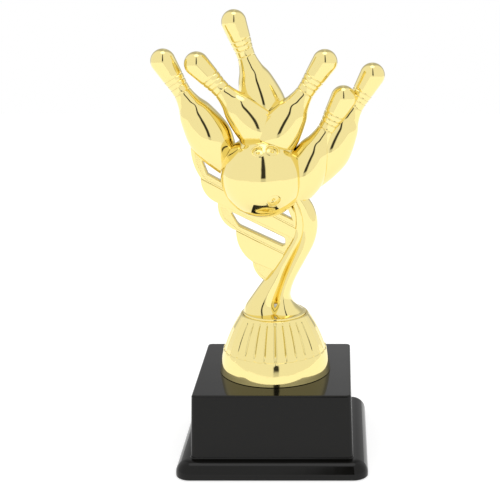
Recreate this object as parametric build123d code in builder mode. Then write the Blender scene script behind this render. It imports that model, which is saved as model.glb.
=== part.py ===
from build123d import *
from math import atan2, cos, degrees, radians, sin, tan
import os

# Bowling trophy: a black plinth, a fluted riser and a gold figure of six pins flying up from a
# ball on a twisted stem with a feathered wing. Millimetres, +Z up, -Y to the front, and the
# origin at the centre of the underside, on the axis of the one bolt that holds it together.

# Plinth
plinth_height = 35.2
block_top_width = 66.7
block_foot_width = 68.9
block_edge_radius = 1.7
block_rim_fillet = 0.8
flange_width = 81.2
flange_height = 7.4
flange_roundover = 5.8
flange_corner_radius = 6.5
plinth_wall = 2.4
plinth_top_thickness = 2.6
rim_lift = 0.2  # the plastic rim stands this far off the table, on its pad
pad_thickness = 1.2
pad_margin = 3.0
pad_clearance = 0.2
rib_height = 5.0
rib_thickness = 1.8
plinth_boss_radius = 8.0
plinth_boss_length = 20.6
ballast_clearance = 0.4
ballast_boss_clearance = 0.8

# Bolt and its fittings
bolt_radius = 2.5
bolt_hole_clearance = 0.3
bolt_head_height = 3.5
hex_across_flats = 8.0
washer_radius = 7.0
washer_thickness = 1.2
lock_washer_radius = 4.4
lock_washer_thickness = 1.3
lock_washer_gap = 1.2
nut_height = 4.0
nut_ledge = 1.6  # plastic under the moulded-in nut
bolt_end_play = 1.0

# Riser
riser_height = 26.2
riser_foot_radius = 24.3
band_top_radius = 22.6
band_height = 10.2
band_bulge = 0.25
flute_step = 0.4
riser_rim_radius = 14.5
riser_wall = 2.2
riser_boss_radius = 7.0
flute_count = 30
flute_phase = 3.6  # turn of the first groove from the front, to the right
flute_groove_radius = 0.45
flute_bow_out = 0.64  # the flutes' bulge, outwards and upwards from a straight slope
flute_bow_up = 0.48
foot_recess_depth = 0.8
foot_recess_rim = 0.7
foot_clearance = 0.1

# Stem: two strands in stations of height above the foot, centre across, half width, half depth.
# They are drawn for a rise of drawn_rise from the foot to the ball's centre.
stem_rise = 62.2
drawn_rise = 62.2
foot_edge_height = 1.6
foot_core_radius = 5.7
foot_core_height = 7.2
left_strand = (
    (1.2, -5.4, 8.2, 8.6),
    (4.2, -5.6, 6.9, 7.4),
    (8.1, -4.0, 5.9, 6.4),
    (14.5, -0.6, 4.7, 5.4),
    (21.0, 3.0, 3.2, 4.4),
    (28.5, 7.3, 2.7, 3.8),
    (36.0, 11.2, 2.8, 3.6),
    (44.0, 11.6, 2.6, 3.4),
    (51.0, 9.6, 2.4, 3.2),
)
right_strand = (
    (1.2, 5.6, 8.1, 8.6),
    (3.0, 4.9, 6.0, 7.6),
    (5.6, 4.4, 3.9, 6.4),
    (9.5, 4.2, 3.0, 5.6),
    (16.0, 6.3, 2.9, 5.2),
    (24.5, 10.3, 3.4, 5.0),
    (32.5, 14.0, 3.7, 4.8),
    (40.5, 15.4, 3.7, 4.6),
    (48.0, 13.8, 3.7, 4.4),
    (54.5, 9.6, 3.6, 4.2),
)

# Ball
ball_radius = 17.8
ball_wall = 2.6
ball_offset = -3.8  # across, from the bolt axis
ball_depth = -4.0  # towards the front
lip_height = 1.5
lip_thickness = 1.0
lip_clearance = 0.1
finger_hole_depth = 1.1
finger_nub_radius = 0.55
# Finger and thumb holes: place across and up from the ball's centre, hole radius.
finger_holes = ((-1.1, 12.4, 2.4), (4.9, 12.7, 2.6), (5.5, -7.8, 2.8))

# Pins: regulation shape, as heights and radii of a pin drawn 15 high, scaled to pin_length.
pin_length = 59.0
drawn_pin_length = 15.0
belly_height = 4.5
drawn_head_radius = 1.33
drawn_foot_flare = 0.35  # radius gained for each unit of height at the foot
drawn_pin = (
    (0.0, 1.02),
    (2.25, 1.93),
    (4.5, 2.37),
    (7.25, 1.84),
    (8.625, 1.25),
    (10.0, 0.96),
    (11.75, 1.13),
    (drawn_pin_length - drawn_head_radius, drawn_head_radius),
)
neck_ring_heights = (9.88, 10.59, 11.09, 11.64)
neck_ring_radius = 0.22
# Each pin: bearing of its belly around the ball, distance of the belly's centre outside the
# ball's surface, lean to the right, place towards the rear, then the bearing and rearward tilt
# of its spigot and the spigot's inner end below (-) or above the ball's surface.
pins = {
    "pin_1": (144.1, 10.0, -30.6, 0.0, 160.0, 13.0, -3.0),
    "pin_2": (95.7, 2.4, -43.3, -2.0, 108.0, 6.0, -3.0),
    "pin_3": (89.4, 11.2, -19.1, 4.0, 80.0, 37.0, -3.0),
    "pin_4": (69.8, 0.7, 33.4, -4.0, 68.0, 0.0, -3.0),
    "pin_5": (2.4, -0.9, 28.0, -3.0, 0.0, 3.0, -3.0),
    "pin_6": (19.8, 12.0, 29.8, 2.0, 18.0, 20.0, 4.7),
}
spigot_radius = 2.0
spigot_length = 5.5
pin_cut_level = -9.5  # lowest point of a pin, up from the ball's centre
stem_spigot = (-47.0, 10.0, -3.0, 2.6)  # bearing, rearward tilt, inner end, radius

# Wing: a flat plate on the stem's left, drawn like the stem for a rise of drawn_rise, as
# places across and heights above the foot.
wing_thickness = 4.4
feather_thickness = 5.2
feather_tips = (
    ((-34.2, 74.2), (-33.2, 66.8), (-30.3, 60.6)),
    ((-30.3, 60.6), (-29.1, 55.2), (-23.4, 50.0)),
    ((-23.4, 50.0), (-21.9, 42.9), (-15.8, 37.8)),
    ((-15.8, 37.8), (-14.3, 30.3), (-9.1, 24.1)),
    ((-9.1, 24.1), (-7.3, 18.7), (-3.6, 15.3)),
)
wing_root = ((2.0, 12.5), (4.0, 22.0), (8.0, 31.0), (11.5, 38.0), (11.0, 44.0), (4.0, 54.0))
wing_top = ((-16.0, 68.0), (-28.0, 80.0))
upper_slot = ((-29.4, 67.9), (-27.3, 62.4), (8.3, 42.6), (6.5, 47.1), (-5.0, 61.5), (-24.0, 78.0))
lower_slot = ((-18.0, 46.2), (-14.7, 40.2), (4.2, 31.2), (5.2, 31.8), (5.2, 34.5))
upper_feather = ((-40.0, 65.9), (-28.9, 59.8), (12.0, 37.6), (12.0, 32.7), (-23.0, 50.0), (-40.0, 58.4))
lower_feather = ((-30.0, 45.2), (-14.7, 37.3), (12.0, 23.5), (12.0, 14.5), (-8.5, 24.4), (-30.0, 34.8))

# Places that follow from the sizes above
block_draft = degrees(atan2((block_foot_width - block_top_width) / 2, plinth_height - rim_lift))
plinth_underside = plinth_height - plinth_top_thickness
cavity_draft_loss = 2 * (pad_thickness - rim_lift) * tan(radians(block_draft))
cavity_width = block_foot_width - 2 * plinth_wall - cavity_draft_loss
pad_recess_width = flange_width - 2 * pad_margin
pad_corner_radius = flange_corner_radius - pad_margin / 2
bolt_hole_radius = bolt_radius + bolt_hole_clearance
boss_bottom = plinth_underside - plinth_boss_length
riser_top = plinth_height + riser_height
foot_bottom = riser_top - foot_recess_depth
foot_radius = riser_rim_radius - foot_recess_rim
nut_bottom = foot_bottom + nut_ledge
ball_centre = Vector(ball_offset, ball_depth, foot_bottom + stem_rise)
stretch = stem_rise / drawn_rise
pin_scale = pin_length / drawn_pin_length


def lifted(points):
    """Points of the stem or the wing at their real height."""
    return [(across, foot_bottom + height * stretch) for across, height in points]


def bearing_direction(bearing, rearward=0.0):
    """Unit vector out of the ball, at a bearing in its front view and tilted to the rear."""
    level = cos(radians(rearward))
    return Vector(level * cos(radians(bearing)), sin(radians(rearward)), level * sin(radians(bearing)))


def pin_radius(height):
    """Radius of the drawn pin at a drawn height, straight between its stations."""
    for (low, low_radius), (high, high_radius) in zip(drawn_pin, drawn_pin[1:]):
        if low <= height <= high:
            return low_radius + (high_radius - low_radius) * (height - low) / (high - low)
    return drawn_pin[-1][1]


os.makedirs("parts", exist_ok=True)

# Plinth shell: drafted block on a rounded flange, hollow from below, with a bolt boss and ribs
with BuildPart() as plinth_shell:
    with BuildSketch(Plane.XY.offset(rim_lift)):
        RectangleRounded(flange_width, flange_width, flange_corner_radius)
    extrude(amount=flange_height - rim_lift)
    fillet(plinth_shell.faces().sort_by(Axis.Z)[-1].edges(), flange_roundover)
    with BuildSketch(Plane.XY.offset(rim_lift)):
        RectangleRounded(block_foot_width, block_foot_width, block_edge_radius)
    extrude(amount=plinth_height - rim_lift, taper=block_draft)
    fillet(plinth_shell.faces().sort_by(Axis.Z)[-1].edges(), block_rim_fillet)
    with BuildSketch(Plane.XY.offset(rim_lift)):
        RectangleRounded(pad_recess_width, pad_recess_width, pad_corner_radius)
    extrude(amount=pad_thickness - rim_lift, mode=Mode.SUBTRACT)
    with BuildSketch(Plane.XY.offset(pad_thickness)):
        RectangleRounded(cavity_width, cavity_width, block_edge_radius)
    extrude(amount=plinth_underside - pad_thickness, taper=block_draft, mode=Mode.SUBTRACT)
    with BuildSketch(Plane.XY.offset(plinth_underside)):
        Rectangle(block_top_width - plinth_wall, rib_thickness)
        Rectangle(rib_thickness, block_top_width - plinth_wall)
    extrude(amount=-rib_height)
    with BuildSketch(Plane.XY.offset(plinth_underside)):
        Circle(plinth_boss_radius)
    extrude(amount=-plinth_boss_length)
    with BuildSketch(Plane.XY.offset(boss_bottom)):
        Circle(bolt_hole_radius)
    extrude(amount=plinth_height - boss_bottom, mode=Mode.SUBTRACT)
plinth_shell.part.label = "plinth_shell"
export_step(plinth_shell.part, "parts/plinth_shell.step")

# Ballast block: dense casting that fills the hollow up to the ribs
ballast_height = plinth_underside - rib_height - pad_thickness
ballast_width = cavity_width - 2 * ballast_clearance
with BuildPart() as ballast_block:
    with BuildSketch(Plane.XY.offset(pad_thickness)):
        RectangleRounded(ballast_width, ballast_width, block_edge_radius)
    extrude(amount=ballast_height, taper=block_draft)
    with BuildSketch(Plane.XY.offset(pad_thickness)):
        Circle(plinth_boss_radius + ballast_boss_clearance)
    extrude(amount=ballast_height, mode=Mode.SUBTRACT)
ballast_block.part.label = "ballast_block"
export_step(ballast_block.part, "parts/ballast_block.step")

# Base pad: felt, glued into the recess of the rim
with BuildPart() as base_pad:
    pad_width = pad_recess_width - 2 * pad_clearance
    with BuildSketch():
        RectangleRounded(pad_width, pad_width, pad_corner_radius - pad_clearance)
    extrude(amount=pad_thickness)
base_pad.part.label = "base_pad"
export_step(base_pad.part, "parts/base_pad.step")

# Flat washer against the boss, split lock washer and bolt head below it
washer_bottom = boss_bottom - washer_thickness
lock_washer_bottom = washer_bottom - lock_washer_thickness
with BuildPart() as flat_washer:
    with BuildSketch(Plane.XY.offset(washer_bottom)):
        Circle(washer_radius)
        Circle(bolt_hole_radius, mode=Mode.SUBTRACT)
    extrude(amount=washer_thickness)
flat_washer.part.label = "flat_washer"
export_step(flat_washer.part, "parts/flat_washer.step")

with BuildPart() as lock_washer:
    with BuildSketch(Plane.XY.offset(lock_washer_bottom)):
        Circle(lock_washer_radius)
        Circle(bolt_hole_radius, mode=Mode.SUBTRACT)
        with Locations((lock_washer_radius, 0)):
            Rectangle(2 * lock_washer_radius, lock_washer_gap, mode=Mode.SUBTRACT)
    extrude(amount=lock_washer_thickness)
lock_washer.part.label = "lock_washer"
export_step(lock_washer.part, "parts/lock_washer.step")

bolt_top = nut_bottom + nut_height + bolt_end_play
with BuildPart() as centre_bolt:
    with BuildSketch(Plane.XY.offset(lock_washer_bottom)):
        RegularPolygon(hex_across_flats / 2, 6, major_radius=False)
    extrude(amount=-bolt_head_height)
    with BuildSketch(Plane.XY.offset(lock_washer_bottom)):
        Circle(bolt_radius)
    extrude(amount=bolt_top - lock_washer_bottom)
    chamfer(centre_bolt.faces().sort_by(Axis.Z)[-1].edges(), bolt_radius / 5)
centre_bolt.part.label = "centre_bolt"
export_step(centre_bolt.part, "parts/centre_bolt.step")

with BuildPart() as captive_nut:
    with BuildSketch(Plane.XY.offset(nut_bottom)):
        RegularPolygon(hex_across_flats / 2, 6, major_radius=False)
        Circle(bolt_radius, mode=Mode.SUBTRACT)
    extrude(amount=nut_height)
captive_nut.part.label = "captive_nut"
export_step(captive_nut.part, "parts/captive_nut.step")

# Riser: bell-shaped shell with a plain band, a ring of flutes and a boss round the bolt
band_top = plinth_height + band_height
flute_foot_radius = band_top_radius - flute_step
flute_mid = (
    (flute_foot_radius + riser_rim_radius) / 2 + flute_bow_out,
    (band_top + riser_top) / 2 + flute_bow_up,
)
with BuildPart() as riser_bell:
    with BuildSketch(Plane.XZ):
        with BuildLine():
            Line((0, plinth_height), (riser_foot_radius, plinth_height))
            ThreePointArc(
                (riser_foot_radius, plinth_height),
                ((riser_foot_radius + band_top_radius) / 2 + band_bulge, plinth_height + band_height / 2),
                (band_top_radius, band_top),
            )
            Line((band_top_radius, band_top), (flute_foot_radius, band_top))
            ThreePointArc((flute_foot_radius, band_top), flute_mid, (riser_rim_radius, riser_top))
            Polyline((riser_rim_radius, riser_top), (0, riser_top), (0, plinth_height))
        make_face()
    revolve(axis=Axis.Z)
    with BuildSketch(Plane.XZ):
        with BuildLine():
            inner_foot = (riser_foot_radius - riser_wall, plinth_height)
            inner_band = (flute_foot_radius - riser_wall, band_top)
            inner_mid = (flute_mid[0] - riser_wall, flute_mid[1] - riser_wall)
            inner_top = (riser_rim_radius - riser_wall, riser_top - foot_recess_depth - riser_wall)
            boss_top = (riser_boss_radius, inner_top[1])
            Polyline(boss_top, (riser_boss_radius, plinth_height), inner_foot, inner_band)
            ThreePointArc(inner_band, inner_mid, inner_top)
            Line(inner_top, boss_top)
        make_face()
    revolve(axis=Axis.Z, mode=Mode.SUBTRACT)
    with BuildSketch(Plane.XY.offset(foot_bottom)):
        Circle(foot_radius)
    extrude(amount=foot_recess_depth, mode=Mode.SUBTRACT)
    with BuildSketch(Plane.XY.offset(plinth_height)):
        Circle(bolt_hole_radius)
    extrude(amount=riser_height, mode=Mode.SUBTRACT)
    with BuildLine(Plane.XZ) as flute_line:
        ThreePointArc((flute_foot_radius, band_top), flute_mid, (riser_rim_radius, riser_top))
    for turn in range(flute_count):
        groove_path = flute_line.wire().rotate(Axis.Z, flute_phase - 90 + turn * 360 / flute_count)
        with BuildSketch(Plane(groove_path @ 0, z_dir=groove_path % 0)):
            Circle(flute_groove_radius)
        sweep(path=groove_path, mode=Mode.SUBTRACT)
riser_bell.part.label = "riser_bell"
export_step(riser_bell.part, "parts/riser_bell.step")

# Spigots that root each pin and the stem, all pointing at the ball's centre


def spigot(bearing, rearward, reach, radius):
    """Round peg aimed at the ball's centre, its inner end at a reach beyond the ball's surface."""
    outward = bearing_direction(bearing, rearward)
    with BuildPart() as peg:
        with BuildSketch(Plane(ball_centre + outward * (ball_radius + reach), z_dir=outward)):
            Circle(radius)
        extrude(amount=spigot_length)
    return peg.part


pin_spigots = {name: spigot(*row[4:7], spigot_radius) for name, row in pins.items()}
stem_peg = spigot(*stem_spigot)

# The solid ball, to which everything behind it is cut
with BuildPart() as whole_ball:
    with Locations(ball_centre):
        Sphere(ball_radius)

# Ball halves: hollow, meeting on an upright seam with a lip on the rear half
seam = Plane(ball_centre, z_dir=(0, -1, 0))
inner_radius = ball_radius - ball_wall
with BuildPart() as ball_front:
    with Locations(ball_centre):
        Sphere(ball_radius)
        Sphere(inner_radius, mode=Mode.SUBTRACT)
    split(bisect_by=seam, keep=Keep.TOP)
    for across, up, radius in finger_holes:
        depth = -((ball_radius**2 - across**2 - up**2) ** 0.5)
        outward = Vector(across, depth, up).normalized()
        floor = ball_centre + outward * (ball_radius - finger_hole_depth)
        with BuildSketch(Plane(floor, z_dir=outward)):
            Circle(radius)
            Circle(finger_nub_radius, mode=Mode.SUBTRACT)
        extrude(amount=2 * finger_hole_depth, mode=Mode.SUBTRACT)
    for peg in (*pin_spigots.values(), stem_peg):
        add(peg, mode=Mode.SUBTRACT)
ball_front.part.label = "ball_front"
export_step(ball_front.part, "parts/ball_front.step")

with BuildPart() as ball_rear:
    with Locations(ball_centre):
        Sphere(ball_radius)
        Sphere(inner_radius, mode=Mode.SUBTRACT)
    split(bisect_by=seam, keep=Keep.BOTTOM)
    lip_radius = (inner_radius**2 - lip_height**2) ** 0.5 - lip_clearance
    with BuildSketch(seam.offset(-lip_height)):
        Circle(inner_radius)
        Circle(lip_radius - lip_thickness, mode=Mode.SUBTRACT)
    extrude(amount=lip_height)
    with BuildSketch(seam):
        Circle(lip_radius)
        Circle(lip_radius - lip_thickness, mode=Mode.SUBTRACT)
    extrude(amount=lip_height)
    for peg in (*pin_spigots.values(), stem_peg):
        add(peg, mode=Mode.SUBTRACT)
ball_rear.part.label = "ball_rear"
export_step(ball_rear.part, "parts/ball_rear.step")


# Pins


def pin_body(bearing, clearance, lean, depth):
    """Whole pin, its belly's centre at a bearing and clearance round the ball, leaning right."""
    upward = Vector(sin(radians(lean)), 0, cos(radians(lean)))
    sideways = Vector(cos(radians(lean)), 0, -sin(radians(lean)))
    belly = ball_centre + bearing_direction(bearing) * (ball_radius + clearance)
    foot = Vector(belly.X, depth, belly.Z) - upward * belly_height * pin_scale
    points = [(radius * pin_scale, height * pin_scale) for height, radius in drawn_pin]
    crown = (0, drawn_pin_length * pin_scale)
    with BuildPart() as body:
        with BuildSketch(Plane(foot, x_dir=sideways, z_dir=(0, -1, 0))):
            with BuildLine():
                Spline(*points, tangents=((drawn_foot_flare, 1), (0, 1)))
                RadiusArc(points[-1], crown, -points[-1][0])
                Polyline(crown, (0, 0), points[0])
            make_face()
            for ring in neck_ring_heights:
                with Locations((pin_radius(ring) * pin_scale, ring * pin_scale)):
                    Circle(neck_ring_radius, mode=Mode.SUBTRACT)
        revolve(axis=Axis(foot, upward))
    return body.part


def cut_pin(name, *in_front):
    """Pin cut to the ball and to the pins in front of it, with its spigot."""
    with BuildPart() as pin:
        add(pin_body(*pins[name][:4]))
        split(bisect_by=Plane.XY.offset(ball_centre.Z + pin_cut_level), keep=Keep.TOP)
        add(whole_ball.part, mode=Mode.SUBTRACT)
        add(pin_spigots[name])
        for piece in in_front:
            add(piece, mode=Mode.SUBTRACT)
    pin.part.label = name
    return pin.part


pin_1 = cut_pin("pin_1")
pin_4 = cut_pin("pin_4")
pin_2 = cut_pin("pin_2", pin_4)
pin_3 = cut_pin("pin_3", pin_2, pin_4)
pin_5 = cut_pin("pin_5", pin_4, pin_spigots["pin_6"])
pin_6 = cut_pin("pin_6", pin_5)
for pin in (pin_1, pin_2, pin_3, pin_4, pin_5, pin_6):
    export_step(pin, f"parts/{pin.label}.step")

# Stem: two strands on a round foot, with the nut moulded in
with BuildPart() as stem:
    with BuildSketch(Plane.XY.offset(foot_bottom)):
        Circle(foot_radius - foot_clearance)
    extrude(amount=foot_edge_height)
    with BuildSketch(Plane.XY.offset(foot_bottom)):
        Circle(foot_core_radius)
    extrude(amount=foot_core_height)
    for strand in (left_strand, right_strand):
        for height, across, half_width, half_depth in strand:
            with BuildSketch(Plane((across, 0, foot_bottom + height * stretch))):
                Ellipse(half_width, half_depth)
        loft()
    add(whole_ball.part, mode=Mode.SUBTRACT)
    add(stem_peg)
    add(pin_5, mode=Mode.SUBTRACT)
    add(pin_6, mode=Mode.SUBTRACT)
    with BuildSketch(Plane.XY.offset(foot_bottom)):
        Circle(bolt_hole_radius)
    extrude(amount=bolt_top + bolt_end_play - foot_bottom, mode=Mode.SUBTRACT)
    with BuildSketch(Plane.XY.offset(nut_bottom)):
        RegularPolygon(hex_across_flats / 2, 6, major_radius=False)
    extrude(amount=nut_height, mode=Mode.SUBTRACT)
stem.part.label = "stem"
export_step(stem.part, "parts/stem.step")

# Wing: a stepped plate with two open slots, and two feathers standing proud of it
root_line = lifted(wing_root)
top_line = lifted(wing_top)
with BuildPart() as wing:
    for thickness, feathers in ((wing_thickness, ()), (feather_thickness, (upper_feather, lower_feather))):
        with BuildSketch(Plane.XZ.offset(-thickness / 2)):
            with BuildLine():
                for tip in feather_tips:
                    ThreePointArc(*lifted(tip))
                Polyline(lifted(feather_tips[-1])[-1], *root_line, *top_line, lifted(feather_tips[0])[0])
            make_face()
            with BuildSketch(mode=Mode.SUBTRACT):
                for slot in (upper_slot, lower_slot):
                    with BuildLine():
                        Polyline(*lifted(slot), close=True)
                    make_face()
            if feathers:
                with BuildSketch(mode=Mode.INTERSECT):
                    for feather in feathers:
                        with BuildLine():
                            Polyline(*lifted(feather), close=True)
                        make_face()
        extrude(amount=thickness)
    add(whole_ball.part, mode=Mode.SUBTRACT)
    for piece in (pin_1, pin_5, stem.part):
        add(piece, mode=Mode.SUBTRACT)
wing.part.label = "wing"
export_step(wing.part, "parts/wing.step")
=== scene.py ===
# Bowling trophy: metallised gold figure on a glossy black plinth, in a white light tent.
# Metres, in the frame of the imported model: +Z up, -Y to the front.
import math
import bmesh
import bpy
from mathutils import Matrix, Vector


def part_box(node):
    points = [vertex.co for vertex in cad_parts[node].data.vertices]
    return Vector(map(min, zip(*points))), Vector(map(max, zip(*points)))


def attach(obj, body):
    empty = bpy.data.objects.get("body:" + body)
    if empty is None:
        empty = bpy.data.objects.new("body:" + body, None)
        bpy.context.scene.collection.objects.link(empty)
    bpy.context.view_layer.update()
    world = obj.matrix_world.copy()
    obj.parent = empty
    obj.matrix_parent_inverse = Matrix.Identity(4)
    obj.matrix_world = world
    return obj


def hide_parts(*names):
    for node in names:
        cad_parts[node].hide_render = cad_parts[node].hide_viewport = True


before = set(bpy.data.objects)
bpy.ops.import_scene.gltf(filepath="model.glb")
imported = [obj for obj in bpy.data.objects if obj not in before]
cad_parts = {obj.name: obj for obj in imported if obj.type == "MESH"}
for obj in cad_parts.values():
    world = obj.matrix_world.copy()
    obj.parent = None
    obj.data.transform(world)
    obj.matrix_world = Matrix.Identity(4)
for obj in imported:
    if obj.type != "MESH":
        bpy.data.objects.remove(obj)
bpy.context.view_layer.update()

MM = 0.001
SEGMENTS = 160
POLE_RADIUS = 1e-7
MERGE_DISTANCE = 1e-6


# Shared helpers


def corners(node):
    """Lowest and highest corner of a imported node."""
    low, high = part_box(node)
    return Vector(low), Vector(high)


def catmull_rom(before, start, end, after, t):
    """Value at t of one span of a Catmull-Rom curve."""
    pull = end - before
    bend = 2 * before - 5 * start + 4 * end - after
    turn = 3 * start - before - 3 * end + after
    return 0.5 * (2 * start + pull * t + bend * t**2 + turn * t**3)


def smooth_curve(points, steps):
    """Rows of numbers along a smooth curve through the given rows, steps to each span."""
    rows = [points[0], *points, points[-1]]
    curve = []
    for span in zip(rows, rows[1:], rows[2:], rows[3:]):
        for step in range(steps):
            curve.append(tuple(catmull_rom(*values, step / steps) for values in zip(*span)))
    return [*curve, tuple(points[-1])]


def arc(centre, radius, start, end, steps):
    """Points (x, y) of a round arc, angles in degrees."""
    angles = [math.radians(start + (end - start) * step / steps) for step in range(steps + 1)]
    return [(centre[0] + radius * math.cos(a), centre[1] + radius * math.sin(a)) for a in angles]


def arc_through(start, middle, end, steps=12):
    """Points (x, y) of the round arc through three points."""
    (ax, ay), (bx, by), (cx, cy) = start, middle, end
    double = 2 * (ax * (by - cy) + bx * (cy - ay) + cx * (ay - by))
    squares = [x * x + y * y for x, y in (start, middle, end)]
    x = (squares[0] * (by - cy) + squares[1] * (cy - ay) + squares[2] * (ay - by)) / double
    y = (squares[0] * (cx - bx) + squares[1] * (ax - cx) + squares[2] * (bx - ax)) / double
    begin = math.atan2(ay - y, ax - x)
    sweep = math.atan2(cy - y, cx - x) - begin
    turn = (sweep + math.pi) % (2 * math.pi) - math.pi
    return arc((x, y), math.hypot(ax - x, ay - y), math.degrees(begin), math.degrees(begin + turn), steps)


def rounded(points, radius, steps=5):
    """Closed outline of (x, y) points with its corners eased."""
    outline = []
    for before, corner, after in zip([points[-1], *points], points, [*points[1:], points[0]]):
        corner = Vector(corner)
        ways = [Vector(other) - corner for other in (before, after)]
        start, end = [corner + way.normalized() * min(radius, way.length / 2) for way in ways]
        for step in range(steps + 1):
            t = step / steps
            outline.append(tuple((1 - t) ** 2 * start + 2 * t * (1 - t) * corner + t**2 * end))
    return outline


def add_piece(bm, name, body, nodes, materials, sharp=35):
    """Scene object from a bmesh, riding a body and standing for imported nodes."""
    bmesh.ops.recalc_face_normals(bm, faces=bm.faces)
    mesh = bpy.data.meshes.new(name)
    bm.to_mesh(mesh)
    bm.free()
    mesh.shade_smooth()
    mesh.set_sharp_from_angle(angle=math.radians(sharp))
    for material in materials:
        mesh.materials.append(material)
    piece = bpy.data.objects.new(name, mesh)
    bpy.context.collection.objects.link(piece)
    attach(piece, body)
    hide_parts(*nodes)
    return piece


def flat_faces(piece):
    """Keeps a piece's broad faces flat in the shading beside its rounded edges."""
    modifier = piece.modifiers.new("flat_faces", "WEIGHTED_NORMAL")
    modifier.keep_sharp = True


def skin_rings(bm, rings, closed=False):
    """Quads between rings of points: capped at both ends, or joined from last to first."""
    rows = [[bm.verts.new(point) for point in ring] for ring in rings]
    count = len(rows[0])
    pairs = list(zip(rows, rows[1:])) + ([(rows[-1], rows[0])] if closed else [])
    for low, high in pairs:
        for index in range(count):
            after = (index + 1) % count
            bm.faces.new((low[index], low[after], high[after], high[index]))
    if not closed:
        bm.faces.new(rows[0][::-1])
        bm.faces.new(rows[-1])


def lathe(bm, profile, place, segments=SEGMENTS, closed=False):
    """Surface of revolution of (radius, height) points about local Z; a zero radius ends in a point."""
    angles = [2 * math.pi * index / segments for index in range(segments)]
    rows = []
    for radius, height in profile:
        if radius < POLE_RADIUS:
            rows.append([bm.verts.new(place @ Vector((0, 0, height)))])
            continue
        points = [Vector((radius * math.cos(a), radius * math.sin(a), height)) for a in angles]
        rows.append([bm.verts.new(place @ point) for point in points])
    pairs = list(zip(rows, rows[1:])) + ([(rows[-1], rows[0])] if closed else [])
    for low, high in pairs:
        for index in range(segments):
            after = (index + 1) % segments
            near, far = low[index % len(low)], low[after % len(low)]
            beyond, above = high[after % len(high)], high[index % len(high)]
            bm.faces.new(list(dict.fromkeys((near, far, beyond, above))))


def boolean(bm, operation, *others):
    """Bmesh after exact booleans with other bmeshes, which are used up."""
    scratch = []
    for item in (bm, *others):
        bmesh.ops.recalc_face_normals(item, faces=item.faces)
        mesh = bpy.data.meshes.new("scratch")
        item.to_mesh(mesh)
        item.free()
        scratch.append(bpy.data.objects.new("scratch", mesh))
        bpy.context.collection.objects.link(scratch[-1])
    for other in scratch[1:]:
        modifier = scratch[0].modifiers.new("boolean", "BOOLEAN")
        modifier.operation = operation
        modifier.solver = "EXACT"
        modifier.object = other
    result = bmesh.new()
    result.from_object(scratch[0], bpy.context.evaluated_depsgraph_get())
    for item in scratch:
        bpy.data.objects.remove(item)
    return result


# Materials

# Range that a noise output mostly stays in.
NOISE_LOW = 0.3
NOISE_HIGH = 0.7


def new_material(name):
    """Material with its nodes, links and main shader."""
    material = bpy.data.materials.new(name)
    material.use_nodes = True
    nodes = material.node_tree.nodes
    return material, nodes, material.node_tree.links, nodes["Principled BSDF"]


def noise_bump(nodes, links, shader, scale, detail, strength, distance):
    """Noise bump on a shader's normal, in object space; gives back the noise."""
    place = nodes.new("ShaderNodeTexCoord")
    grain = nodes.new("ShaderNodeTexNoise")
    grain.inputs["Scale"].default_value = scale
    grain.inputs["Detail"].default_value = detail
    bump = nodes.new("ShaderNodeBump")
    bump.inputs["Strength"].default_value = strength
    bump.inputs["Distance"].default_value = distance
    links.new(place.outputs["Object"], grain.inputs["Vector"])
    links.new(grain.outputs["Fac"], bump.inputs["Height"])
    links.new(bump.outputs["Normal"], shader.inputs["Normal"])
    return grain.outputs["Fac"]


def ranged(nodes, links, source, low, high):
    """A noise output mapped to a range of values."""
    span = nodes.new("ShaderNodeMapRange")
    span.inputs["From Min"].default_value = NOISE_LOW
    span.inputs["From Max"].default_value = NOISE_HIGH
    span.inputs["To Min"].default_value = low
    span.inputs["To Max"].default_value = high
    links.new(source, span.inputs["Value"])
    return span.outputs["Result"]


GOLD_COLOUR = (0.91, 0.775, 0.335, 1)


def gold_material():
    """Vacuum-metallised gold: mirror bright, with the faint waviness of the moulding under it."""
    material, nodes, links, shader = new_material("metallised_gold")
    shader.inputs["Metallic"].default_value = 1.0
    shader.inputs["Base Color"].default_value = GOLD_COLOUR
    grain = noise_bump(nodes, links, shader, 110, 2, 0.06, 0.0012)
    links.new(ranged(nodes, links, grain, 0.03, 0.08), shader.inputs["Roughness"])
    return material


def stippled_gold_material():
    """The same gold over a field of small moulded dots."""
    material, nodes, links, shader = new_material("stippled_gold")
    shader.inputs["Metallic"].default_value = 1.0
    shader.inputs["Base Color"].default_value = GOLD_COLOUR
    place = nodes.new("ShaderNodeTexCoord")
    dots = nodes.new("ShaderNodeTexVoronoi")
    dots.inputs["Scale"].default_value = 1500
    dots.inputs["Randomness"].default_value = 0.35
    bump = nodes.new("ShaderNodeBump")
    bump.inputs["Strength"].default_value = 0.35
    bump.inputs["Distance"].default_value = 0.00012
    links.new(place.outputs["Object"], dots.inputs["Vector"])
    links.new(dots.outputs["Distance"], bump.inputs["Height"])
    links.new(bump.outputs["Normal"], shader.inputs["Normal"])
    links.new(ranged(nodes, links, dots.outputs["Distance"], 0.16, 0.3), shader.inputs["Roughness"])
    return material


def black_material():
    """Glossy black moulded plastic with faint sink marks and duller patches."""
    material, nodes, links, shader = new_material("glossy_black_plastic")
    shader.inputs["Base Color"].default_value = (0.004, 0.0038, 0.0032, 1)
    shader.inputs["Specular IOR Level"].default_value = 0.24
    grain = noise_bump(nodes, links, shader, 55, 3, 0.05, 0.0012)
    links.new(ranged(nodes, links, grain, 0.03, 0.1), shader.inputs["Roughness"])
    return material


def felt_material():
    """Black wool felt with a fine nap."""
    material, nodes, links, shader = new_material("black_felt")
    shader.inputs["Base Color"].default_value = (0.02, 0.02, 0.022, 1)
    shader.inputs["Sheen Weight"].default_value = 0.4
    grain = noise_bump(nodes, links, shader, 2200, 6, 0.9, 0.0003)
    links.new(ranged(nodes, links, grain, 0.85, 1.0), shader.inputs["Roughness"])
    return material


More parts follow.
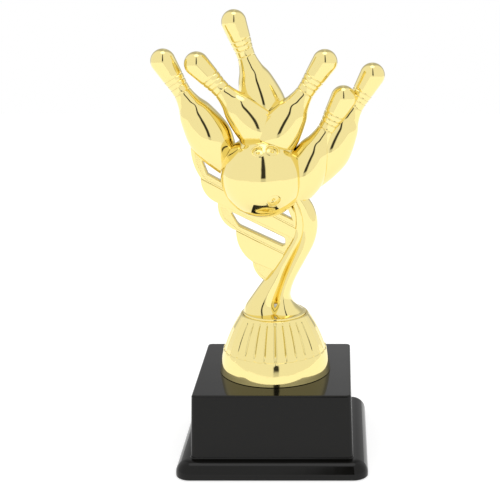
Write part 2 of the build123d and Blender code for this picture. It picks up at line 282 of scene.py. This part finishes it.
def steel_material():
    """Bright zinc plate with a fine grain."""
    material, nodes, links, shader = new_material("zinc_plated_steel")
    shader.inputs["Base Color"].default_value = (0.58, 0.58, 0.55, 1)
    shader.inputs["Metallic"].default_value = 1.0
    grain = noise_bump(nodes, links, shader, 900, 4, 0.15, 0.0003)
    links.new(ranged(nodes, links, grain, 0.22, 0.45), shader.inputs["Roughness"])
    return material


def cement_material():
    """Rough cast cement in two greys."""
    material, nodes, links, shader = new_material("cast_cement")
    shader.inputs["Roughness"].default_value = 0.95
    grain = noise_bump(nodes, links, shader, 260, 8, 0.7, 0.001)
    tint = nodes.new("ShaderNodeValToRGB")
    tint.color_ramp.elements[0].color = (0.26, 0.25, 0.23, 1)
    tint.color_ramp.elements[1].color = (0.5, 0.49, 0.46, 1)
    links.new(grain, tint.inputs["Fac"])
    links.new(tint.outputs["Color"], shader.inputs["Base Color"])
    return material


gold = gold_material()
stippled_gold = stippled_gold_material()
black = black_material()
felt = felt_material()
steel = steel_material()
cement = cement_material()

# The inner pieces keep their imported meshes.
for node in ("flat_washer", "lock_washer", "centre_bolt", "captive_nut", "ballast_block"):
    for material_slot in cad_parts[node].material_slots:
        material_slot.material = cement if node == "ballast_block" else steel


# Plinth: drafted block with eased edges on a rounded flange, hollow round its bolt boss

plinth_low, plinth_high = corners("plinth_shell")
FLANGE_WIDTH = plinth_high.x - plinth_low.x
PLINTH_BOTTOM = plinth_low.z
PLINTH_TOP = plinth_high.z
BLOCK_FOOT_WIDTH = 68.9 * MM
BLOCK_TOP_WIDTH = 66.7 * MM
BLOCK_CORNER = 1.7 * MM
BLOCK_RIM = 0.8 * MM
FLANGE_HEIGHT = 7.4 * MM
FLANGE_ROUNDOVER = 5.8 * MM
FLANGE_CORNER = 6.5 * MM
FLANGE_FOOT_EASE = 0.5 * MM
FLANGE_ROOT_FILLET = 0.5 * MM
PLINTH_WALL = 2.4 * MM
PLINTH_TOP_THICKNESS = 2.6 * MM
PAD_MARGIN = 3.0 * MM
PAD_CORNER = 5.0 * MM
PAD_EDGE = 0.35 * MM
BOSS_RADIUS = 8.0 * MM
BOLT_HOLE_RADIUS = 2.8 * MM
CORNER_STEPS = 10


def rounded_square(width, radius, height):
    """Ring of points round a level square with rounded corners."""
    reach = width / 2 - radius
    ring = []
    for quarter, (across, along) in enumerate(((1, 1), (-1, 1), (-1, -1), (1, -1))):
        start = 90 * quarter
        for x, y in arc((across * reach, along * reach), radius, start, start + 90, CORNER_STEPS):
            ring.append((x, y, height))
    return ring


def round_ring(radius, height):
    """Ring of points round a level circle, one for each point of a rounded square."""
    ring = []
    for x, y, _ in rounded_square(1, 0.2, height):
        scale = radius / math.hypot(x, y)
        ring.append((x * scale, y * scale, height))
    return ring


def block_width(height):
    """Width of the drafted block at a height."""
    rise = (height - PLINTH_BOTTOM) / (PLINTH_TOP - PLINTH_BOTTOM)
    return BLOCK_FOOT_WIDTH + (BLOCK_TOP_WIDTH - BLOCK_FOOT_WIDTH) * rise


def make_plinth():
    recess_top = corners("base_pad")[1].z
    underside = PLINTH_TOP - PLINTH_TOP_THICKNESS
    boss_bottom = corners("flat_washer")[1].z
    recess_width = FLANGE_WIDTH - 2 * PAD_MARGIN
    rings = [rounded_square(recess_width, PAD_CORNER, PLINTH_BOTTOM)]
    ease_centre = (FLANGE_FOOT_EASE, PLINTH_BOTTOM + FLANGE_FOOT_EASE)
    for inset, height in arc(ease_centre, FLANGE_FOOT_EASE, 270, 180, 4):
        rings.append(rounded_square(FLANGE_WIDTH - 2 * inset, FLANGE_CORNER - inset, height))
    shoulder_centre = (FLANGE_ROUNDOVER, FLANGE_HEIGHT - FLANGE_ROUNDOVER)
    for inset, height in arc(shoulder_centre, FLANGE_ROUNDOVER, 180, 90, 16):
        corner = max(FLANGE_CORNER - inset, BLOCK_CORNER)
        rings.append(rounded_square(FLANGE_WIDTH - 2 * inset, corner, height))
    root = (FLANGE_ROOT_FILLET, FLANGE_HEIGHT + FLANGE_ROOT_FILLET)
    for out, height in arc(root, FLANGE_ROOT_FILLET, 270, 180, 4):
        rings.append(rounded_square(block_width(height) + 2 * out, BLOCK_CORNER + out, height))
    for inset, height in arc((BLOCK_RIM, PLINTH_TOP - BLOCK_RIM), BLOCK_RIM, 180, 90, 6):
        rings.append(rounded_square(block_width(height) - 2 * inset, BLOCK_CORNER - inset / 2, height))
    rings.append(round_ring(BOLT_HOLE_RADIUS, PLINTH_TOP))
    rings.append(round_ring(BOLT_HOLE_RADIUS, boss_bottom))
    rings.append(round_ring(BOSS_RADIUS, boss_bottom))
    rings.append(round_ring(BOSS_RADIUS, underside))
    rings.append(rounded_square(block_width(underside) - 2 * PLINTH_WALL, BLOCK_CORNER, underside))
    rings.append(rounded_square(block_width(recess_top) - 2 * PLINTH_WALL, BLOCK_CORNER, recess_top))
    rings.append(rounded_square(recess_width, PAD_CORNER, recess_top))
    bm = bmesh.new()
    skin_rings(bm, rings, closed=True)
    flat_faces(add_piece(bm, "plinth_black", "plinth", ["plinth_shell"], [black]))


def make_pad():
    low, high = corners("base_pad")
    width = high.x - low.x
    rings = []
    for inset, height in arc((PAD_EDGE, low.z + PAD_EDGE), PAD_EDGE, 270, 180, 4):
        rings.append(rounded_square(width - 2 * inset, PAD_CORNER - inset, height))
    for inset, height in arc((PAD_EDGE, high.z - PAD_EDGE), PAD_EDGE, 180, 90, 4):
        rings.append(rounded_square(width - 2 * inset, PAD_CORNER - inset, height))
    bm = bmesh.new()
    skin_rings(bm, rings)
    flat_faces(add_piece(bm, "felt_pad", "plinth", ["base_pad"], [felt]))


make_plinth()
make_pad()


# Riser: bell with a plain band, a scalloped ledge and a ring of flat flutes between grooves

riser_low, riser_high = corners("riser_bell")
RISER_FOOT_RADIUS = riser_high.x
RISER_BOTTOM = riser_low.z
RISER_TOP = riser_high.z
BAND_TOP = RISER_BOTTOM + 10.2 * MM
BAND_TOP_RADIUS = 22.6 * MM
BAND_BULGE = 0.25 * MM
FLUTE_FOOT_RADIUS = 22.25 * MM
RISER_RIM_RADIUS = 14.5 * MM
FLUTE_BOW = (0.64 * MM, 0.48 * MM)
FLUTES = 30
FLUTE_PHASE = 3.6
HALF_FLUTE = math.pi / FLUTES
STEPS_PER_FLUTE = 32
BAND_ROWS = 12
FLUTE_ROWS = 26
GROOVE_DEPTH = 0.55 * MM
GROOVE_WIDTH = 0.13  # as a share of half a flute
# The relief's share on the ledge and at the flutes' foot, and how fast it grows and dies out.
LEDGE_RELIEF = 0.3
FOOT_RELIEF = 0.4
RELIEF_GROWTH = 5
RELIEF_FADE = 9
SCALLOP = 0.5 * MM
SCALLOP_ROWS = 3
SCALLOP_SHARPNESS = 4
RISER_WALL = 2.2 * MM
RIM_EASE = 0.25 * MM
FOOT_RECESS_RADIUS = 13.8 * MM
FOOT_BOTTOM = corners("stem")[0].z


def make_riser():
    flute_middle = (
        (FLUTE_FOOT_RADIUS + RISER_RIM_RADIUS) / 2 + FLUTE_BOW[0],
        (BAND_TOP + RISER_TOP) / 2 + FLUTE_BOW[1],
    )
    band_middle = ((RISER_FOOT_RADIUS + BAND_TOP_RADIUS) / 2 + BAND_BULGE, (RISER_BOTTOM + BAND_TOP) / 2)
    band_foot = (RISER_FOOT_RADIUS, RISER_BOTTOM)
    band = arc_through(band_foot, band_middle, (BAND_TOP_RADIUS, BAND_TOP), BAND_ROWS)
    flute_foot = (FLUTE_FOOT_RADIUS, BAND_TOP)
    flute = arc_through(flute_foot, flute_middle, (RISER_RIM_RADIUS, RISER_TOP), FLUTE_ROWS)
    # Rows of radius, height, share of the flute's relief and share of the scallop.
    rows = [(RISER_FOOT_RADIUS - RIM_EASE, RISER_BOTTOM, 0, 0)]
    rows += [(radius, max(height, RISER_BOTTOM + RIM_EASE), 0, 0) for radius, height in band[:-1]]
    rows += [(BAND_TOP_RADIUS, BAND_TOP - RIM_EASE, 0, 1)]
    rows += [(BAND_TOP_RADIUS - RIM_EASE / 2, BAND_TOP, 0, 1)]
    rows += [(FLUTE_FOOT_RADIUS, BAND_TOP + RIM_EASE / 4, LEDGE_RELIEF, 1)]
    for index, (radius, height) in enumerate(flute[1:-2]):
        share = index / (len(flute) - 3)
        relief = min(1, FOOT_RELIEF + share * RELIEF_GROWTH, (1 - share) * RELIEF_FADE)
        rows.append((radius, height, relief, max(0, 1 - index / SCALLOP_ROWS)))
    rim = flute[-2]
    rows += [(rim[0], rim[1], 0, 0), (RISER_RIM_RADIUS - RIM_EASE / 3, RISER_TOP, 0, 0)]
    rows += [(FOOT_RECESS_RADIUS + RIM_EASE, RISER_TOP, 0, 0)]
    rows += [(FOOT_RECESS_RADIUS, RISER_TOP - RIM_EASE, 0, 0)]
    rows += [(FOOT_RECESS_RADIUS, FOOT_BOTTOM, 0, 0), (BOLT_HOLE_RADIUS, FOOT_BOTTOM, 0, 0)]
    ceiling = FOOT_BOTTOM - RISER_WALL
    rows += [(BOLT_HOLE_RADIUS, ceiling, 0, 0), (FOOT_RECESS_RADIUS - RISER_WALL, ceiling, 0, 0)]
    rows += [(FLUTE_FOOT_RADIUS - RISER_WALL, BAND_TOP, 0, 0)]
    rows += [(RISER_FOOT_RADIUS - RISER_WALL, RISER_BOTTOM, 0, 0)]
    count = FLUTES * STEPS_PER_FLUTE
    rings = []
    for radius, height, relief, scallop in rows:
        ring = []
        for index in range(count):
            place = 2 * (index % STEPS_PER_FLUTE) / STEPS_PER_FLUTE
            off_groove = min(place, 2 - place)
            groove = math.exp(-((off_groove / GROOVE_WIDTH) ** 2))
            hollow = radius * (1 - math.cos(HALF_FLUTE) / math.cos((1 - off_groove) * HALF_FLUTE))
            reach = radius - relief * (hollow + GROOVE_DEPTH * groove)
            turn = math.radians(FLUTE_PHASE - 90) + 2 * math.pi * index / count
            lift = scallop * SCALLOP * (1 - off_groove) ** SCALLOP_SHARPNESS
            ring.append((reach * math.cos(turn), reach * math.sin(turn), height + lift))
        rings.append(ring)
    bm = bmesh.new()
    skin_rings(bm, rings, closed=True)
    add_piece(bm, "riser_gold", "figure", ["riser_bell"], [gold], sharp=50)


make_riser()


# Ball: two hollow halves that meet on an upright seam, with three finger dimples in front

ball_low, ball_high = corners("ball_front")
BALL_RADIUS = (ball_high.z - ball_low.z) / 2
BALL_CENTRE = Vector((ball_low.x + BALL_RADIUS, ball_high.y, ball_low.z + BALL_RADIUS))
BALL_WALL = 2.6 * MM
BALL_SINK = 0.3 * MM
SEAM_EASE = 0.12 * MM
# Dimples: place across and up from the ball's centre, radius.
DIMPLES = ((-1.1, 12.4, 2.4), (4.9, 12.7, 2.6), (5.5, -7.8, 2.8))
DIMPLE_DEPTH = 1.1 * MM
DIMPLE_EDGE = 0.3 * MM
DIMPLE_RIDGE = 0.12 * MM
NUB_RADIUS = 0.6 * MM
NUB_HEIGHT = 0.75 * MM
DIMPLE_CUTS = 3
# How far past a dimple's edge the mesh is made finer and is moved.
FINER_REACH = 1.1
MOVED_REACH = 1.3


def quarter_turn(steps):
    """Angles from 0 to a right angle."""
    return [math.pi / 2 * step / steps for step in range(steps + 1)]


def half_ball(side):
    """Hollow half of the ball as a bmesh: side is -1 in front and 1 behind."""
    steps = SEGMENTS // 4
    outer = [(BALL_RADIUS * math.sin(a), BALL_RADIUS * math.cos(a)) for a in quarter_turn(steps)]
    inner_radius = BALL_RADIUS - BALL_WALL
    turns = quarter_turn(steps // 2)
    inner = [(inner_radius * math.sin(a), inner_radius * math.cos(a)) for a in turns]
    outer[-1] = (BALL_RADIUS, SEAM_EASE)
    seam = [(BALL_RADIUS - SEAM_EASE, 0), (inner_radius, 0)]
    turn = Matrix.Rotation(math.radians(-90 * side), 4, "X")
    bm = bmesh.new()
    lathe(bm, [*outer, *seam, *inner[::-1][1:]], Matrix.Translation(BALL_CENTRE) @ turn)
    return bm


def dimple_depth(distance, radius):
    """Depth of a finger dimple at a distance from its centre, with its raised ring and nub."""
    wall = min(1, max(0, (radius - distance) / DIMPLE_EDGE))
    depth = DIMPLE_DEPTH * wall * wall * (3 - 2 * wall)
    ridge = DIMPLE_RIDGE * math.exp(-(((distance - radius - DIMPLE_EDGE / 2) / DIMPLE_EDGE) ** 2))
    nub = NUB_HEIGHT * math.exp(-((distance / NUB_RADIUS) ** 4))
    return depth - ridge - nub


def make_ball():
    """Both halves, the front one with its dimples pressed in."""
    bm = half_ball(-1)
    for across, up, radius in DIMPLES:
        out = -math.sqrt((BALL_RADIUS / MM) ** 2 - across**2 - up**2)
        middle = BALL_CENTRE + Vector((across, out, up)) * MM
        reach = radius * MM + 2 * DIMPLE_EDGE
        for _ in range(DIMPLE_CUTS):
            near = [
                edge
                for edge in bm.edges
                if any((vert.co - middle).length < reach * FINER_REACH for vert in edge.verts)
            ]
            bmesh.ops.subdivide_edges(bm, edges=near, cuts=1, use_grid_fill=True)
        for vert in bm.verts:
            distance = (vert.co - middle).length
            outward = vert.co - BALL_CENTRE
            if distance < reach * MOVED_REACH and outward.length > BALL_RADIUS - BALL_WALL / 2:
                depth = dimple_depth(distance, radius * MM)
                vert.co = BALL_CENTRE + outward.normalized() * (BALL_RADIUS - depth)
    add_piece(bm, "ball_front_gold", "figure", ["ball_front"], [gold], sharp=60)
    add_piece(half_ball(1), "ball_rear_gold", "figure", ["ball_rear"], [gold], sharp=60)


def ball_core():
    """Solid ball a little smaller than the real one, to which what stands on it is cut."""
    steps = SEGMENTS // 2
    radius = BALL_RADIUS - BALL_SINK
    turns = [math.pi * step / steps for step in range(steps + 1)]
    bm = bmesh.new()
    profile = [(radius * math.sin(turn), -radius * math.cos(turn)) for turn in turns]
    lathe(bm, profile, Matrix.Translation(BALL_CENTRE), segments=SEGMENTS // 2)
    return bm


make_ball()


# Pins: six in a fan, each leaning right by an angle in degrees

PIN_LEANS = {"pin_1": -30.6, "pin_2": -43.3, "pin_3": -19.1, "pin_4": 33.4, "pin_5": 28.0, "pin_6": 29.8}
PIN_LENGTH = 59.0 * MM
DRAWN_LENGTH = 15.0
PIN_SCALE = PIN_LENGTH / DRAWN_LENGTH
HEAD_RADIUS = 1.33
# Side of the drawn pin: radius and height.
DRAWN_PIN = (
    (1.02, 0.0),
    (1.93, 2.25),
    (2.37, 4.5),
    (1.84, 7.25),
    (1.25, 8.625),
    (0.96, 10.0),
    (1.13, 11.75),
    (HEAD_RADIUS, DRAWN_LENGTH - HEAD_RADIUS),
)
NECK_RINGS = (9.88, 10.59, 11.09, 11.64)
RING_HALF_WIDTH = 0.09
RING_DEPTH = 0.055
RING_STEPS = 3
SIDE_STEPS = 10
CROWN_STEPS = 14
PIN_CUT_LEVEL = -9.5 * MM


def pin_profile():
    """(radius, height) of a pin, foot to crown, with its neck rings."""
    side = smooth_curve(DRAWN_PIN, SIDE_STEPS)
    points = [(0.0, 0.0), *side]
    for ring in NECK_RINGS:
        below, above = next(pair for pair in zip(side, side[1:]) if pair[0][1] <= ring < pair[1][1])
        share = (ring - below[1]) / (above[1] - below[1])
        radius = below[0] + (above[0] - below[0]) * share
        points = [(r, h) for r, h in points if abs(h - ring) > RING_HALF_WIDTH]
        for step in range(-RING_STEPS, RING_STEPS + 1):
            depth = RING_DEPTH * math.cos(step / RING_STEPS * math.pi / 2) ** 2
            points.append((radius - depth, ring + RING_HALF_WIDTH * step / RING_STEPS))
    points.sort(key=lambda point: point[1])
    crown = arc((0, DRAWN_LENGTH - HEAD_RADIUS), HEAD_RADIUS, 0, 90, CROWN_STEPS)[1:-1]
    points += [*crown, (0.0, DRAWN_LENGTH)]
    return [(radius * PIN_SCALE, height * PIN_SCALE) for radius, height in points]


def make_pin(name, lean):
    """Pin that leans right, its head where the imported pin's is, cut to the ball."""
    low, high = corners(name)
    head = HEAD_RADIUS * PIN_SCALE
    across = low.x + head if lean < 0 else high.x - head
    centre = Vector((across, (low.y + high.y) / 2, high.z - head))
    turn = Matrix.Rotation(math.radians(lean), 4, "Y")
    foot = centre - turn @ Vector((0, 0, PIN_LENGTH - head))
    bm = bmesh.new()
    lathe(bm, pin_profile(), Matrix.Translation(foot) @ turn)
    level = BALL_CENTRE + Vector((0, 0, PIN_CUT_LEVEL))
    whole = [*bm.verts, *bm.edges, *bm.faces]
    cut = bmesh.ops.bisect_plane(bm, geom=whole, plane_co=level, plane_no=(0, 0, 1), clear_inner=True)
    rim = [item for item in cut["geom_cut"] if isinstance(item, bmesh.types.BMEdge)]
    if rim:
        bmesh.ops.edgenet_fill(bm, edges=rim)
    bm = boolean(bm, "DIFFERENCE", ball_core())
    add_piece(bm, f"{name}_gold", "figure", [name], [gold])


for pin_name, pin_lean in PIN_LEANS.items():
    make_pin(pin_name, pin_lean)


# Stem: two strands that rise from a round foot and cross behind the ball

# Stations of a strand: height above the foot, centre across, half width, half depth.
LEFT_STRAND = (
    (1.0, -5.4, 8.2, 8.6),
    (4.2, -5.6, 6.9, 7.4),
    (8.1, -4.0, 5.9, 6.4),
    (14.5, -0.6, 4.7, 5.4),
    (21.0, 3.0, 3.2, 4.4),
    (28.5, 7.3, 2.7, 3.8),
    (36.0, 11.2, 2.8, 3.6),
    (44.0, 11.6, 2.6, 3.4),
    (51.0, 9.6, 2.4, 3.2),
)
RIGHT_STRAND = (
    (1.0, 5.6, 8.1, 8.6),
    (3.0, 4.9, 6.0, 7.6),
    (5.6, 4.4, 3.9, 6.4),
    (9.5, 4.2, 3.0, 5.6),
    (16.0, 6.3, 2.9, 5.2),
    (24.5, 10.3, 3.4, 5.0),
    (32.5, 14.0, 3.7, 4.8),
    (40.5, 15.4, 3.7, 4.6),
    (48.0, 13.8, 3.7, 4.4),
    (54.5, 9.6, 3.6, 4.2),
)
FOOT_RADIUS = 13.7 * MM
FOOT_EDGE = 1.6 * MM
FOOT_EASE = 0.6 * MM
STRAND_STEPS = 6


def strand(stations):
    """Tube of ellipses through smoothed stations."""
    rings = []
    count = SEGMENTS // 2
    turns = [2 * math.pi * index / count for index in range(count)]
    for height, across, half_width, half_depth in smooth_curve(stations, STRAND_STEPS):
        ring = []
        for turn in turns:
            x = (across + half_width * math.cos(turn)) * MM
            ring.append((x, half_depth * math.sin(turn) * MM, FOOT_BOTTOM + height * MM))
        rings.append(ring)
    bm = bmesh.new()
    skin_rings(bm, rings)
    return bm


def make_stem():
    profile = [(0, 0), (FOOT_RADIUS, 0)]
    profile += arc((FOOT_RADIUS - FOOT_EASE, FOOT_EDGE - FOOT_EASE), FOOT_EASE, 0, 90, 5)
    profile += [(0, FOOT_EDGE)]
    foot = bmesh.new()
    lathe(foot, profile, Matrix.Translation((0, 0, FOOT_BOTTOM)))
    bm = boolean(foot, "UNION", strand(LEFT_STRAND), strand(RIGHT_STRAND))
    bm = boolean(bm, "DIFFERENCE", ball_core())
    add_piece(bm, "stem_gold", "figure", ["stem"], [gold], sharp=40)


make_stem()


# Wing: five stepped feathers with two slots, the first, third and fifth with stippled fields

# Places across and heights above the stem's foot, in millimetres.
FEATHER_TIPS = (
    ((-34.2, 74.2), (-33.2, 66.8), (-30.3, 60.6)),
    ((-30.3, 60.6), (-29.1, 55.2), (-23.4, 50.0)),
    ((-23.4, 50.0), (-21.9, 42.9), (-15.8, 37.8)),
    ((-15.8, 37.8), (-14.3, 30.3), (-9.1, 24.1)),
    ((-9.1, 24.1), (-7.3, 18.7), (-3.6, 15.3)),
)
WING_ROOT = (
    (2.0, 12.5),
    (4.0, 22.0),
    (8.0, 31.0),
    (11.5, 38.0),
    (11.0, 44.0),
    (4.0, 54.0),
    (0.0, 55.2),
)
UPPER_SLOT = (
    (6.5, 47.1),
    (8.3, 42.6),
    (-27.3, 62.4),
    (-29.4, 67.9),
    (-24.0, 78.0),
    (-28.0, 80.0),
)
LOWER_SLOT = ((-18.0, 46.2), (-14.7, 40.2), (4.2, 31.2), (5.2, 31.8), (5.2, 34.5))
WING_HALF = 2.2 * MM
FEATHER_HALF = 2.6 * MM
WING_EDGE = 0.5 * MM
FEATHER_EDGE = 0.22 * MM
SLOT_CORNER = 1.2
TIP_STEPS = 8
FIELD_DEPTH = 0.22 * MM
FIELD_CORNER = 0.5
# Stippled fields of the first, third and fifth feathers.
FIELDS = (
    (
        (-32.7, 74.0),
        (-32.1, 67.6),
        (-29.6, 62.0),
        (-28.2, 60.0),
        (9.0, 39.8),
        (9.0, 41.2),
        (-28.3, 61.9),
        (-30.4, 67.8),
        (-28.6, 73.5),
    ),
    (
        (-22.2, 48.6),
        (-20.9, 43.5),
        (-16.0, 39.0),
        (-14.2, 37.7),
        (5.0, 27.7),
        (8.0, 34.2),
        (5.9, 35.2),
        (5.9, 31.4),
        (4.3, 30.1),
        (-15.3, 39.4),
        (-19.0, 46.4),
        (-19.9, 47.6),
    ),
    ((-8.0, 23.3), (-6.5, 19.1), (-3.7, 16.5), (0.0, 19.5), (-0.4, 20.0)),
)
# Raised feathers: which tip each has, and its root.
RAISED_FEATHERS = (
    (1, ((11.0, 33.2), (11.0, 38.1))),
    (3, ((2.5, 19.1), (4.5, 27.4))),
)


def plate(outlines, half, edge):
    """Upright plate with eased edges, from outlines of (across, height) points: holes after the first."""
    curve = bpy.data.curves.new("scratch", "CURVE")
    curve.dimensions = "2D"
    curve.fill_mode = "BOTH"
    curve.extrude = half - edge
    curve.bevel_depth = edge
    curve.bevel_resolution = 3
    curve.offset = -edge
    for number, outline in enumerate(outlines):
        crossed = [ax * by - bx * ay for (ax, ay), (bx, by) in zip(outline, [*outline[1:], outline[0]])]
        points = outline if (sum(crossed) > 0) == (number == 0) else outline[::-1]
        spline = curve.splines.new("POLY")
        spline.points.add(len(points) - 1)
        for point, (across, height) in zip(spline.points, points):
            point.co = (across * MM, height * MM, 0, 1)
        spline.use_cyclic_u = True
    scratch = bpy.data.objects.new("scratch", curve)
    bpy.context.collection.objects.link(scratch)
    filled = scratch.evaluated_get(bpy.context.evaluated_depsgraph_get())
    mesh = bpy.data.meshes.new_from_object(filled)
    bpy.data.objects.remove(scratch)
    bm = bmesh.new()
    bm.from_mesh(mesh)
    bmesh.ops.remove_doubles(bm, verts=bm.verts, dist=MERGE_DISTANCE)
    upright = Matrix.Translation((0, 0, FOOT_BOTTOM)) @ Matrix.Rotation(math.radians(90), 4, "X")
    bmesh.ops.transform(bm, verts=bm.verts, matrix=upright)
    return bm


def pocket(outline, side):
    """Prism that sinks a field into one face of the wing: side is -1 in front and 1 behind."""
    rings = []
    for depth in (WING_HALF - FIELD_DEPTH, WING_HALF + FIELD_DEPTH):
        rings.append([(x * MM, side * depth, FOOT_BOTTOM + height * MM) for x, height in outline])
    bm = bmesh.new()
    skin_rings(bm, rings)
    return bm


def make_wing():
    outline = []
    for tip in FEATHER_TIPS:
        outline += arc_through(*tip, steps=TIP_STEPS)[:-1]
    outline += [FEATHER_TIPS[-1][-1], *WING_ROOT, *UPPER_SLOT]
    bm = plate([outline, rounded(LOWER_SLOT, SLOT_CORNER)], WING_HALF, WING_EDGE)
    pockets = [pocket(rounded(field, FIELD_CORNER), side) for field in FIELDS for side in (-1, 1)]
    bm = boolean(bm, "DIFFERENCE", *pockets)
    feathers = []
    for tip, root in RAISED_FEATHERS:
        outline = [*arc_through(*FEATHER_TIPS[tip], steps=TIP_STEPS), *root]
        feathers.append(plate([outline], FEATHER_HALF, FEATHER_EDGE))
    bm = boolean(bm, "UNION", *feathers)
    bm = boolean(bm, "DIFFERENCE", ball_core())
    bm.faces.ensure_lookup_table()
    for face in bm.faces:
        sunk = abs(abs(face.calc_center_median().y) - (WING_HALF - FIELD_DEPTH)) < FIELD_DEPTH / 10
        face.material_index = 1 if sunk and abs(face.normal.y) > 0.9 else 0
    add_piece(bm, "wing_gold", "figure", ["wing"], [gold, stippled_gold], sharp=40)


make_wing()


# Studio: a white tent whose dark places show only in reflections, over a pale floor

WALL_BRIGHTNESS = 0.98
# Dark places of the tent: azimuth (0 to the front, positive to the right) and elevation ranges
# in degrees, softness of their edges, and how much of the light they take.
DARK_PLACES = (
    (-1, 11, 2, 70, 2, 0.96),
    (-1, 11, -15, 2, 2, 0.3),
    (140, 181, -20, 75, 12, 0.45),
    (-181, -140, -20, 75, 12, 0.45),
)
OVERHEAD_ELEVATION = 76
OVERHEAD_SOFTNESS = 4
OVERHEAD_GLOW = 1.0
FLOOR_HALF = 1.05
FLOOR_GREY = 0.62
FLOOR_GLOW = 0.6
SENSOR_WIDTH = 36
CAMERA_LENS = 84.36
CAMERA_SHIFT = -0.183
CAMERA_PLACE = (0.0293, -0.4895, 0.2169)
CAMERA_DIP = 14.61  # degrees below level


def math_node(nodes, links, operation, *values):
    """Math node of sockets or plain numbers."""
    node = nodes.new("ShaderNodeMath")
    node.operation = operation
    for socket, value in zip(node.inputs, values):
        if isinstance(value, (int, float)):
            socket.default_value = value
        else:
            links.new(value, socket)
    return node.outputs["Value"]


def step_node(nodes, links, value, edge, softness):
    """Smooth step from 0 to 1 about an edge."""
    step = nodes.new("ShaderNodeMapRange")
    step.interpolation_type = "SMOOTHSTEP"
    step.inputs["From Min"].default_value = edge - softness
    step.inputs["From Max"].default_value = edge + softness
    links.new(value, step.inputs["Value"])
    return step.outputs["Result"]


def light_tent():
    """World that lights the trophy evenly, with plain white behind it."""
    world = bpy.data.worlds.new("light_tent")
    bpy.context.scene.world = world
    world.use_nodes = True
    nodes, links = world.node_tree.nodes, world.node_tree.links
    nodes.clear()
    place = nodes.new("ShaderNodeTexCoord")
    parts = nodes.new("ShaderNodeSeparateXYZ")
    links.new(place.outputs["Generated"], parts.inputs["Vector"])
    to_front = math_node(nodes, links, "MULTIPLY", parts.outputs["Y"], -1.0)
    turn = math_node(nodes, links, "ARCTAN2", parts.outputs["X"], to_front)
    azimuth = math_node(nodes, links, "DEGREES", turn)
    rise = math_node(nodes, links, "ARCSINE", parts.outputs["Z"])
    elevation = math_node(nodes, links, "DEGREES", rise)
    light = WALL_BRIGHTNESS
    for left, right, low, high, softness, share in DARK_PLACES:
        inside = 1.0
        for value, start, end in ((azimuth, left, right), (elevation, low, high)):
            begun = step_node(nodes, links, value, start, softness)
            ended = step_node(nodes, links, value, end, softness)
            within = math_node(nodes, links, "SUBTRACT", begun, ended)
            inside = math_node(nodes, links, "MULTIPLY", within, inside)
        kept = math_node(nodes, links, "MULTIPLY_ADD", inside, -share, 1.0)
        light = math_node(nodes, links, "MULTIPLY", kept, light)
    overhead = step_node(nodes, links, elevation, OVERHEAD_ELEVATION, OVERHEAD_SOFTNESS)
    light = math_node(nodes, links, "MULTIPLY_ADD", overhead, OVERHEAD_GLOW, light)
    tent = nodes.new("ShaderNodeBackground")
    tent.inputs["Color"].default_value = (1, 1, 1, 1)
    links.new(light, tent.inputs["Strength"])
    backdrop = nodes.new("ShaderNodeBackground")
    backdrop.inputs["Color"].default_value = (1, 1, 1, 1)
    rays = nodes.new("ShaderNodeLightPath")
    either = nodes.new("ShaderNodeMixShader")
    links.new(rays.outputs["Is Camera Ray"], either.inputs["Fac"])
    links.new(tent.outputs["Background"], either.inputs[1])
    links.new(backdrop.outputs["Background"], either.inputs[2])
    output = nodes.new("ShaderNodeOutputWorld")
    links.new(either.outputs["Shader"], output.inputs["Surface"])


def pale_floor():
    """Level floor, bright enough to meet the white behind it without an edge."""
    material, nodes, links, shader = new_material("pale_floor")
    shader.inputs["Base Color"].default_value = (FLOOR_GREY, FLOOR_GREY, FLOOR_GREY, 1)
    shader.inputs["Specular IOR Level"].default_value = 0.0
    shader.inputs["Emission Color"].default_value = (1, 1, 1, 1)
    shader.inputs["Emission Strength"].default_value = FLOOR_GLOW
    grain = noise_bump(nodes, links, shader, 300, 4, 0.1, 0.0005)
    links.new(ranged(nodes, links, grain, 0.9, 1.0), shader.inputs["Roughness"])
    bm = bmesh.new()
    bmesh.ops.create_grid(bm, x_segments=4, y_segments=4, size=FLOOR_HALF)
    mesh = bpy.data.meshes.new("floor")
    bm.to_mesh(mesh)
    bm.free()
    mesh.materials.append(material)
    floor = bpy.data.objects.new("floor", mesh)
    bpy.context.collection.objects.link(floor)


light_tent()
pale_floor()
bpy.context.scene.view_settings.view_transform = "Standard"
bpy.context.scene.view_settings.look = "None"

camera_data = bpy.data.cameras.new("camera")
camera_data.sensor_width = SENSOR_WIDTH
camera_data.lens = CAMERA_LENS
camera_data.shift_x = CAMERA_SHIFT
camera = bpy.data.objects.new("camera", camera_data)
camera.location = CAMERA_PLACE
camera.rotation_euler = (math.radians(90 - CAMERA_DIP), 0, 0)
bpy.context.collection.objects.link(camera)
bpy.context.scene.camera = camera
